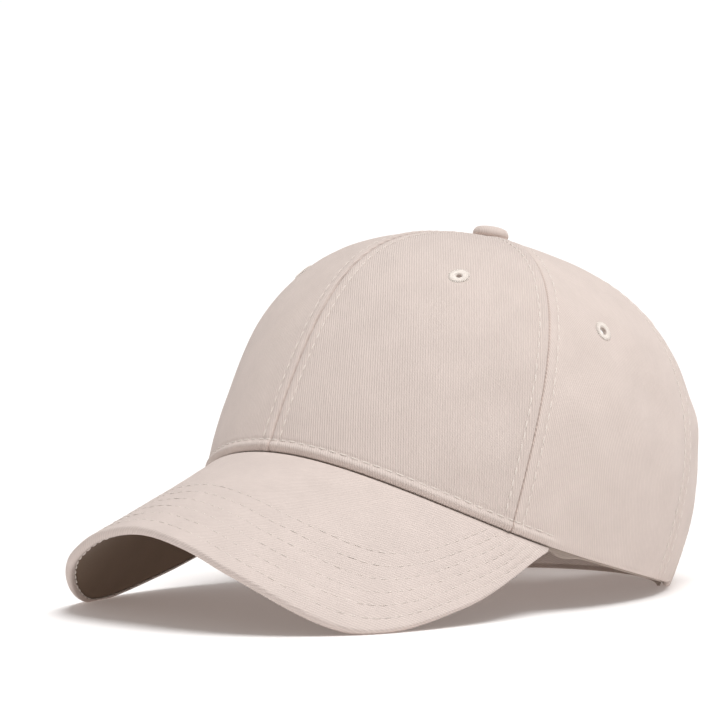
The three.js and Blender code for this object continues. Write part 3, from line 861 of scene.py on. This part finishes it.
def button():
    """A dome covered with cloth, gathered a little round its edge."""
    point, out, fall, side = crown_frame(0.0, 2 * FRAME_STEP)
    point = point + (0, 1.3, GAP)
    low, wide = BUTTON_EDGE[-1]
    turns = np.linspace(1.35, 0.05, 10)
    dome = [(low + BUTTON_DOME * math.cos(t) ** 1.1, wide * math.sin(t) ** 0.9) for t in turns]
    rise, radius = np.array(BUTTON_EDGE + dome).T[..., None]
    turns = np.arange(BUTTON_SIDES) * 2 * math.pi / BUTTON_SIDES
    pleat = 1 + 0.012 * np.sin(turns * 11 + 0.6 * np.sin(turns * 3))[None] * bell(rise - 1.0, 1.4)
    ring = fall[None, None] * np.cos(turns)[None, :, None] + side[None, None] * np.sin(turns)[None, :, None]
    points = point + ring * (radius * pleat)[..., None] + out * rise[..., None]
    uv = np.stack([radius * np.cos(turns), radius * np.sin(turns)], -1)
    points = points.reshape(-1, 3)
    faces = outwards(points, tube_faces(0, len(rise), BUTTON_SIDES))
    return add_piece("button_cloth", points, faces, uv, BUTTON_TWILL, ["button"], sharp=70)


# Slit, arch and straps

def slit_facing(sign, replaced):
    """The hem down one side of the slit. The left one laps over the right one under the button."""
    bottom = float(down_at_height(math.pi, ARCH_HEIGHT + BINDING_WIDTH * 0.5))
    down = np.linspace(PANEL_TOP_SHOWN, bottom, 120)[:, None]
    lap = 3.2 * smooth((0.2 - down) / 0.12) * smooth((down - 0.01) / 0.05)
    inside = slit_half_width(down) - lap * (1 if sign > 0 else -0.3)
    column = [0, 0.03, 0.07, 0.13, 0.2, 0.3, 0.42, 0.55, 0.66, 0.74, 0.8, 0.85, 0.9, 0.95, 1]
    across = mix(inside, facing_edge(down) + 0.1, np.array(column)[None, :])
    around = around_at_distance(np.abs(across), down + 0 * across)
    mirror = np.stack([np.where(across < 0, -1, 1), *[np.ones_like(across)] * 2], -1)
    points, out = (values * mirror for values in crown_frame(around, down + 0 * across)[:2])
    width = lengths(points, 1)
    from_edge = width[:, -1:] - width
    puff = 0.35 * np.sin(math.pi * np.clip(width / np.maximum(width[:, -1:], 0.1), 0, 1)) ** 0.7
    rise = TRIM_PROUD + puff - 0.3 * bell(from_edge - 1.5, 0.6) - 0.25 * bell(from_edge, 0.5)
    rise = rise + (1.1 if sign > 0 else -0.2) * smooth((0.24 - down) / 0.1) * smooth(1 - across / 9)
    rise = rise + (0.5 if sign > 0 else 0.15) + 0.25 * ripple(points * (sign, 1, 1), 18, 8)
    flip = np.array([sign, 1, 1])
    outer = (points + out * rise[..., None]) * flip
    inner = (points - out * (FACING_WALL - TRIM_PROUD)) * flip
    uv = np.stack([across * sign, -lengths(points, 0)], -1)
    name = "facing_left" if sign > 0 else "facing_right"
    add_shell(name, outer, inner, uv, TRIM_TWILL, replaced, foot=2, top=5, bulge=0.9)
    keep = (facing_edge(down[:, 0]) > 6) & (down[:, 0] < bottom - 0.06)
    return [(along_lines(outer, from_edge, 1.5)[keep], out[keep, -3] * flip)]


def arch_binding():
    """The strip that binds the edge of the rear arch."""
    grow = np.array([0, 0.25, 0.6, 1.1, 1.8, 2.7, 3.7, 4.7, 5.4, 5.9, 6.3, 6.7, 7.1, 7.5, 7.8, 8.0])
    columns = [arch_outline(g, 190) for g in grow]
    x = np.stack([c[0] for c in columns], 1)
    z = np.maximum(np.stack([c[1] for c in columns], 1), 0.0)
    around, down = place_behind(x, z)
    points, out = crown_frame(around, down)[:2]
    points = np.stack([x, points[..., 1], z], -1)
    out = out * np.stack([np.sign(x) + (x == 0), np.ones_like(x), np.ones_like(x)], -1)
    puff = 0.75 * np.sin(math.pi * np.clip(grow / BINDING_WIDTH, 0, 1)) ** 0.7
    rise = TRIM_PROUD + puff - 0.35 * bell(grow - 6.5, 0.6) - 0.2 * bell(grow - BINDING_WIDTH, 0.5)
    rise = rise[None] + 0.12 * ripple(points, 9, 9)
    outer = points + out * rise[..., None]
    inner = points - out * (BINDING_WALL - TRIM_PROUD)
    run = lengths(points, 0)
    uv = np.stack([run, grow[None] + 0 * run], -1)
    add_shell("binding", outer, inner, uv, TRIM_TWILL, ["arch_binding"], foot=2, top=5, bulge=0.9)
    stitched = 10
    keep = z[:, stitched] > 4
    return [(outer[keep, stitched], out[keep, stitched])]


strap_deep = BINDING_WALL - TRIM_PROUD + GAP * 3.5
strap_lap = STRAP_WALL + GAP
strap_sewn_end = ARCH_HALF_WIDTH + BINDING_WIDTH * STRAP_SEWN_SHARE


def strap_depth(x):
    return strap_deep - strap_lap * smooth((ARCH_HALF_WIDTH - x) / (2 * ARCH_HALF_WIDTH))


def strap(name, start, stop, low, high, extra, replaced, rounded_end):
    """A doubled strip of cloth across the rear arch, with a row of stitches round it."""
    x = np.linspace(start, stop, STRAP_COLUMNS)[:, None]
    near = [0, 0.2, 0.5, 0.9, 1.4, 1.8, 2.2, 2.6, 3.1, 4]
    x, z = np.broadcast_arrays(x, high - (high - low) * spaced(high - low, near, 1.4)[None, :])
    around, down = place_behind(x, np.maximum(z, 0.05))
    points, out = crown_frame(around, down)[:2]
    level = unit(out * np.stack([np.sign(x) + (x == 0), np.ones_like(x), np.zeros_like(x)], -1))
    points = np.stack([x, points[..., 1], z], -1)
    edge = np.minimum(high - z, z - low)
    swell = 0.18 * smooth(edge / 3) - 0.16 * bell(edge - 2.0, 0.5) + 0.25 * ripple(points, 26, 11)
    depth = strap_depth(x) + extra
    outer = points + level * (swell - depth)[..., None]
    inner = points - level * (depth + STRAP_WALL)[..., None]
    add_shell(name, outer, inner, np.stack([x, z], -1), STRAP_TWILL, replaced)
    inset = 2.0
    free = (x[:, 0] > start + inset) if rounded_end < 0 else (x[:, 0] < stop - inset)
    rows = [(along_lines(outer, z, height)[free], level[free, 0]) for height in (high - inset, low + inset)]
    end = np.argmax(free) if rounded_end < 0 else len(free) - 1 - np.argmax(free[::-1])
    inside = (z[end] < high - inset) & (z[end] > low + inset)
    return rows + [(outer[end][inside], level[end][inside])]


# Band inside the rim

def sweatband():
    end = math.pi - 0.6
    around = np.linspace(-end, end, 300)[:, None]
    middle = np.linspace(0.22, 0.9, 12)
    row = np.concatenate([[0, 0.01, 0.03, 0.06, 0.1, 0.15], middle, [0.95, 0.98, 1]])[None, :]
    hang = BAND_HANG * bell(np.abs(around) / DEGREE - PEAK_CORNER - 4, 4)
    down = down_at_height(around, rim_height(around) + GAP + BAND_HEIGHT * (1 - row) - hang * row**2)
    points, out = crown_frame(around, down)[:2]
    depth = FRONT_WALL + GAP
    wave = 0.25 * ripple(points, 15, 12) * np.sin(math.pi * row)
    swell = 0.35 * bell(row - 0.06, 0.05) - 0.2 * bell(row - 0.13, 0.02)
    outer = points - out * depth
    inner = points - out * (depth + BAND_WALL + swell + wave)[..., None]
    fallen = lengths(points, 1)
    uv = np.stack([lengths(points, 0), -fallen], -1)
    outside = arch_distance(points[..., 0], points[..., 2])
    keep = outside.min(1) > BINDING_WIDTH + GAP + 0.6
    keep |= np.abs(around[:, 0]) < math.pi / 2
    add_shell("band", outer[keep], inner[keep], uv[keep], BAND_TAPE, ["sweatband"])
    return [(along_lines(inner, fallen, BAND_STITCH_BELOW)[keep], -out[keep, 3])]


# Peak

PEAK_COLUMNS = 281
NEAR_CORNER = 0.975  # share across up to which the surface's normal is worked out
ROOT_INWARD = 3.1

corner_around = PEAK_CORNER * DEGREE
corner_point = crown_point(corner_around, rim_down(corner_around))


def catmull_rom(points, count):
    """A chordal Catmull-Rom curve through the points, evenly spaced by its length."""
    points = np.array([2 * points[0] - points[1], *points, 2 * points[-1] - points[-2]])
    curve = []
    for i in range(1, len(points) - 2):
        p0, p1, p2, p3 = points[i - 1:i + 3]
        d0, d1, d2 = (np.linalg.norm(b - a) for a, b in ((p0, p1), (p1, p2), (p2, p3)))
        t1 = ((p1 - p0) / d0 - (p2 - p0) / (d0 + d1) + (p2 - p1) / d1) * d1
        t2 = ((p2 - p1) / d1 - (p3 - p1) / (d1 + d2) + (p3 - p2) / d2) * d1
        t = np.linspace(0, 1, 400)[:, None]
        cubic = (2 * p1 - 2 * p2 + t1 + t2) * t**3 + (-3 * p1 + 3 * p2 - 2 * t1 - t2) * t**2 + t1 * t + p1
        curve.append(cubic[:-1])
    curve.append(points[-2][None])
    curve = np.concatenate(curve)
    run = lengths(curve, 0)
    return between(np.linspace(0, run[-1], count), run, curve)


def peak_edge(drop):
    tip = crown_point(0.0, rim_down(0.0))[1] - PEAK_REACH
    half = corner_point[0] + PEAK_FLARE
    side = [(a * half, mix(tip, corner_point[1], b), up * PEAK_TIP_HEIGHT - drop) for a, b, up in PEAK_EDGE]
    side = np.array(side + [tuple(corner_point)])
    return catmull_rom([*(side[:0:-1] * (-1, 1, 1)), *side], 2001)


def peak_around(across):
    away = np.abs(across)
    return corner_around * np.sign(across) * (away + PEAK_FAN * away * (1 - away))


class Peak:
    """The top surface of the peak, given a share across (-1 to 1) and out from the rim (0 to 1)."""

    def __init__(self, drop):
        self.edge = peak_edge(drop)
        self.shares = np.linspace(-1, 1, len(self.edge))
        self.table = np.linspace(-1, 1, 801)
        around = peak_around(self.table)
        self.rim = crown_point(around, rim_down(around))

    def point(self, across, out):
        across, out = np.broadcast_arrays(across, out)
        rim = between(across, self.table, self.rim)
        edge = between(across, self.shares, self.edge)
        return rim + (edge - rim) * out[..., None]

    def length(self, across):
        """From the rim straight out to the edge."""
        return np.linalg.norm(self.point(across, 1) - self.point(across, 0), axis=-1)

    def normal(self, across, out):
        step = 4e-3
        nearer = np.clip(across, -NEAR_CORNER, NEAR_CORNER)
        side = self.point(nearer + step, out) - self.point(nearer - step, out)
        ahead = self.point(nearer, out + step) - self.point(nearer, out - step)
        return unit(np.cross(ahead, side))


def lowest_of_peak(peak):
    across = np.linspace(-NEAR_CORNER, NEAR_CORNER, 37)
    edge = peak.point(across, 1) - peak.normal(across, 1) * PEAK_EDGE_THICKNESS * 0.7
    lip = 1 - np.minimum(1 / peak.length(across), 0.2)
    under = peak.point(across, lip) - peak.normal(across, lip) * PEAK_EDGE_THICKNESS
    return min(edge[:, 2].min(), under[:, 2].min())


def crown_side(across, inward, below):
    """Places under the front of the rim, inward from the crown's outside and down from the peak's top."""
    around = peak_around(across)
    point, out, fall = crown_frame(around, rim_down(around))[:3]
    return point - out * inward + fall * below


def peak_pieces():
    drop = lowest_of_peak(Peak(0.0)) + 0.3
    peak = Peak(drop)
    even = np.linspace(-1, 1, PEAK_COLUMNS)[:, None]
    across = mix(np.sin(even * math.asin(PEAK_END)), even * PEAK_END, 0.6)
    length = peak.length(across)
    thick = PEAK_EDGE_THICKNESS * (0.35 + 0.65 * smooth(length / 9))
    corner = np.minimum(1.1, length * 0.15)

    middle = np.linspace(0.06, 0.94, 52)
    share = np.concatenate([[0, 0.006, 0.014, 0.025, 0.04], middle, [0.965, 0.985, 1]])[None, :]
    out = share * (1 - corner / length)
    top = peak.point(across, out)
    normal = peak.normal(across, out)
    from_edge = (1 - out) * length
    relief = peak_relief(top, from_edge, out * length)
    top = top + normal * relief[..., None]
    uv_top = np.stack([top[..., 0], top[..., 1] + 0.55 * (top[..., 2] - 40)], -1)

    edge_point = peak.point(across[:, 0], np.ones(len(across)))
    edge_normal = peak.normal(across[:, 0], np.full(len(across), 0.999))
    outward = unit(edge_point - peak.point(across[:, 0], np.full(len(across), 0.97)))
    face = edge_face(edge_point, edge_normal, outward, thick[:, 0], corner[:, 0])
    lip_width = np.minimum(PEAK_LIP, length[:, 0] * 0.45)
    inner_depth = np.minimum(PEAK_COVER_WALL, thick[:, 0] * 0.55)
    lip = edge_point - outward * lip_width[:, None] - edge_normal * thick[:, 0, None]
    lip_in = edge_point - outward * (lip_width + 0.25)[:, None] - edge_normal * (thick[:, 0] - 0.9)[:, None]
    lip_up = edge_point - outward * (lip_width + 0.4)[:, None] - edge_normal * inner_depth[:, None]
    inner_share = share[:, ::-3]
    inner_out = inner_share * (1 - (lip_width[:, None] + 0.6) / length)
    below = peak.point(across, inner_out) - peak.normal(across, inner_out) * inner_depth[:, None, None]
    root_low = crown_side(across[:, 0], ROOT_INWARD, 2.2)
    root_high = crown_side(across[:, 0], ROOT_INWARD, 0.3)
    loop = [root_high[:, None], top, *[f[:, None] for f in face], lip[:, None], lip_in[:, None],
            lip_up[:, None], below, root_low[:, None]]
    outline = np.concatenate(loop, 1)
    pad = outline.shape[1] - top.shape[1] - 1
    uv = np.concatenate([uv_top[:, :1], uv_top, np.repeat(uv_top[:, -1:], pad, 1)], 1)
    faces_across = lengths(outline, 1)
    edge_at = top.shape[1]
    beyond = faces_across[:, edge_at + 1:] - faces_across[:, edge_at, None]
    uv[:, edge_at + 1:] += unit(outward[:, None, :2]) * beyond[..., None]
    # The cover's colour carries painted shade that tones down the lit top of the peak.
    add_ring_piece("peak_cover", outline, uv, PEAK_TWILL_WITH_PAINTED_SHADE, ["peak_top_cover"])
    peak_lining(peak, across, length, thick[:, 0], lip_width, inner_depth)
    return peak_stitches(peak)


def edge_face(point, normal, outward, thick, corner):
    """The rolled edge of the peak, one round turn from its top to its underside."""
    made = []
    for share in (0.1, 0.2, 0.32, 0.44, 0.56, 0.68, 0.8, 0.9, 1.0):
        turn = math.pi * share
        ahead = (corner + 0.2) * math.sin(turn) ** 0.75 - corner
        deep = thick * (1 - math.cos(turn)) / 2
        made.append(point + outward * ahead[:, None] - normal * deep[:, None])
    return made


def peak_relief(points, from_edge, from_rim):
    """Shallow channels under the rows of stitches, cloth puckered between them, and a dip at the rim."""
    total = 0.10 * ripple(points, 4.2, 21) + 0.14 * ripple(points, 13, 22)
    for row in PEAK_STITCH_ROWS:
        total -= 0.16 * bell(from_edge - row, 1.1)
    total *= smooth(from_edge / 3) * smooth(from_rim / 3)
    return total - 0.4 * bell(from_rim, 0.8)


def peak_lining(peak, across, length, thick, lip_width, inner_depth):
    """The cloth under the peak, which meets the rolled edge in a fine seam."""
    share = np.linspace(0, 1, 30)[None, :]
    keep = slice(3, -3)
    out = share * (1 - (lip_width[:, None] + 0.75) / length)
    depth = np.minimum(PEAK_COVER_WALL + PEAK_UNDER_WALL + 0.3, thick + 0.1)[:, None]
    swell = 0.25 * smooth((1 - share) * length / 3) - 0.35
    place = peak.point(across, out)
    normal = peak.normal(across, out)
    low = place - normal * (depth + swell)[..., None]
    high = place - normal * (inner_depth[:, None] + 0.1 + 0 * out)[..., None]
    low_root = crown_side(across[:, 0], ROOT_INWARD, 4.4)[:, None]
    high_root = crown_side(across[:, 0], ROOT_INWARD, 2.5)[:, None]
    outer = np.concatenate([low_root, low], 1)[keep]
    inner = np.concatenate([high_root, high], 1)[keep]
    # The lining's colour is its own darker brown plus painted shade of the underside.
    add_shell("peak_lining", outer, inner, outer[..., :2], LINING_TWILL_AND_PAINTED_SHADE, ["peak_underside"],
              foot=2, top=0)


def add_ring_piece(name, outline, uv, material, replaced):
    """A solid through closed outlines whose two end outlines are closed with one face each."""
    count, size = outline.shape[:2]
    faces = quads_between(count, size)
    faces += [list(range(size))[::-1], [(count - 1) * size + v for v in range(size)]]
    points = outline.reshape(-1, 3)
    return add_piece(name, points, outwards(points, faces), uv.reshape(-1, 2), material, replaced)


def peak_stitches(peak):
    """Rows that run round the peak parallel to its edge, each as far as the rim."""
    across = np.linspace(-0.97, 0.97, 600)
    length = peak.length(across)
    rows = []
    for row in PEAK_STITCH_ROWS:
        inside = length > row + 1.5
        at = across[inside]
        out = 1 - row / length[inside]
        rows.append((peak.point(at, out) - peak.normal(at, out) * 0.12, peak.normal(at, out)))
    edge = np.linspace(-0.93, 0.93, 500)
    out = 1 - (PEAK_LIP + 0.3) / peak.length(edge)
    normal = peak.normal(edge, out)
    seam = (peak.point(edge, out) - normal * PEAK_EDGE_THICKNESS, -normal)
    return rows, seam


# Stage

CAMERA_AZIMUTH = 43.797 * DEGREE
CAMERA_ELEVATION = 3.735 * DEGREE
CAMERA_DISTANCE = 1451.9
CAMERA_TARGET = (-16.25, 69.45)  # right and up in the view
CAMERA_ROLL = -0.03 * DEGREE
FOCAL = 3708.1  # in pixels of a picture 717 wide
AXIS_AT = (380.0, 415.9)  # pixel that the measured axis goes through
PICTURE = (717, 710)
ROOM_LIGHT = 0.24
KEY_LIGHT = 2.9
KEY_SPREAD = 36 * DEGREE
KEY_FROM = (0.27, -0.02, 1.0)


def make_camera():
    a, e = CAMERA_AZIMUTH, CAMERA_ELEVATION
    back = Vector((math.sin(a) * math.cos(e), -math.cos(a) * math.cos(e), math.sin(e)))
    right = Vector((math.cos(a), math.sin(a), 0))
    up = back.cross(right)
    place = right * CAMERA_TARGET[0] + up * CAMERA_TARGET[1] + back * CAMERA_DISTANCE
    place.y += CENTRE_SHIFT
    cos_roll, sin_roll = math.cos(CAMERA_ROLL), math.sin(CAMERA_ROLL)
    right, up = right * cos_roll - up * sin_roll, up * cos_roll + right * sin_roll
    aside = (PICTURE[0] / 2 - AXIS_AT[0]) / FOCAL
    above = (AXIS_AT[1] - PICTURE[1] / 2) / FOCAL
    behind = (back - right * aside - up * above).normalized()
    across = up.cross(behind).normalized()
    data = bpy.data.cameras.new("camera")
    data.lens = FOCAL / PICTURE[0] * data.sensor_width
    data.clip_start, data.clip_end = 0.05, 60
    camera = bpy.data.objects.new("camera", data)
    camera.location = place * 0.001
    camera.rotation_mode = "QUATERNION"
    camera.rotation_quaternion = Matrix((across, behind.cross(across), behind)).transposed().to_quaternion()
    scene.collection.objects.link(camera)
    scene.camera = camera


def make_light():
    """A pale room, bright low down all round, with a wide soft light from above."""
    world = bpy.data.worlds.new("studio")
    world.use_nodes = True
    tree = world.node_tree
    place = tree.nodes.new("ShaderNodeTexCoord")
    split = tree.nodes.new("ShaderNodeSeparateXYZ")
    ramp = tree.nodes.new("ShaderNodeValToRGB")
    tree.links.new(place.outputs["Generated"], split.inputs[0])
    tree.links.new(split.outputs["Z"], ramp.inputs["Fac"])
    tree.links.new(ramp.outputs["Color"], tree.nodes["Background"].inputs["Color"])
    ramp.color_ramp.elements[0].position = 0.16
    ramp.color_ramp.elements[1].position = 0.34
    ramp.color_ramp.elements[0].color = (1, 1, 1, 1)
    ramp.color_ramp.elements[1].color = (*[ROOM_LIGHT] * 3, 1)
    tree.nodes["Background"].inputs["Strength"].default_value = 1.02
    scene.world = world
    data = bpy.data.lights.new("key", "SUN")
    data.energy = KEY_LIGHT
    data.angle = KEY_SPREAD
    key = bpy.data.objects.new("key", data)
    key.rotation_mode = "QUATERNION"
    key.rotation_quaternion = (-Vector(KEY_FROM)).to_track_quat("-Z", "Y")
    scene.collection.objects.link(key)
    scene.view_settings.view_transform = "Standard"
    scene.view_settings.look = "None"


def make_floor():
    nodes = Nodes("floor")
    grain = nodes.add("ShaderNodeTexNoise", {"Scale": 3.0, "Detail": 2.0})
    nodes.paint(grain.outputs["Fac"], (1, 1, 1), 0.81, 0.83)
    nodes.shader.inputs["Roughness"].default_value = 0.9
    # The floor glows faintly with a warm tint: painted light that lifts the shadow under the cap and warms
    # it.
    nodes.shader.inputs["Emission Color"].default_value = (1, 0.84, 0.77, 1)
    nodes.shader.inputs["Emission Strength"].default_value = 0.18
    nodes.shader.inputs["Specular IOR Level"].default_value = 0.1
    mesh = bpy.data.meshes.new("floor")
    far = 12.0
    mesh.from_pydata([(-far, -far, 0), (far, -far, 0), (far, far, 0), (-far, far, 0)], [], [(0, 1, 2, 3)])
    mesh.materials.append(nodes.material)
    floor = bpy.data.objects.new("floor", mesh)
    floor.location.z = -0.0002
    scene.collection.objects.link(floor)


make_camera()
make_light()
make_floor()
crown_panels()
button()
slit_rows = []
for side, sign in SIDES:
    slit_rows += slit_facing(sign, [f"slit_facing_{side}"])
arch_rows = arch_binding()
strap_start = -(ARCH_HALF_WIDTH - STRAP_END_CLEARANCE)
strap_rows = strap("strap_outer", strap_start, strap_sewn_end, 0, STRAP_HEIGHT, 0, ["strap_long"], -1)
tab_top = STRAP_HEIGHT + TAB_RAISE
strap_rows += strap("strap_inner", -strap_sewn_end, TAB_REACH, TAB_RAISE, tab_top, strap_lap,
                    ["strap_tab"], 1)
band_rows = sweatband()
peak_rows, peak_seam = peak_pieces()
add_stitches("crown_stitching", crown_stitches, radius=0.31)
add_stitches("rim_stitching", rim_stitches, radius=0.3)
add_stitches("peak_stitching", peak_rows, radius=0.16)
add_stitches("peak_edge_stitching", [peak_seam], radius=0.3)
add_stitches("slit_stitching", slit_rows)
add_stitches("arch_stitching", arch_rows)
add_stitches("strap_stitching", strap_rows)
add_stitches("band_stitching", band_rows)
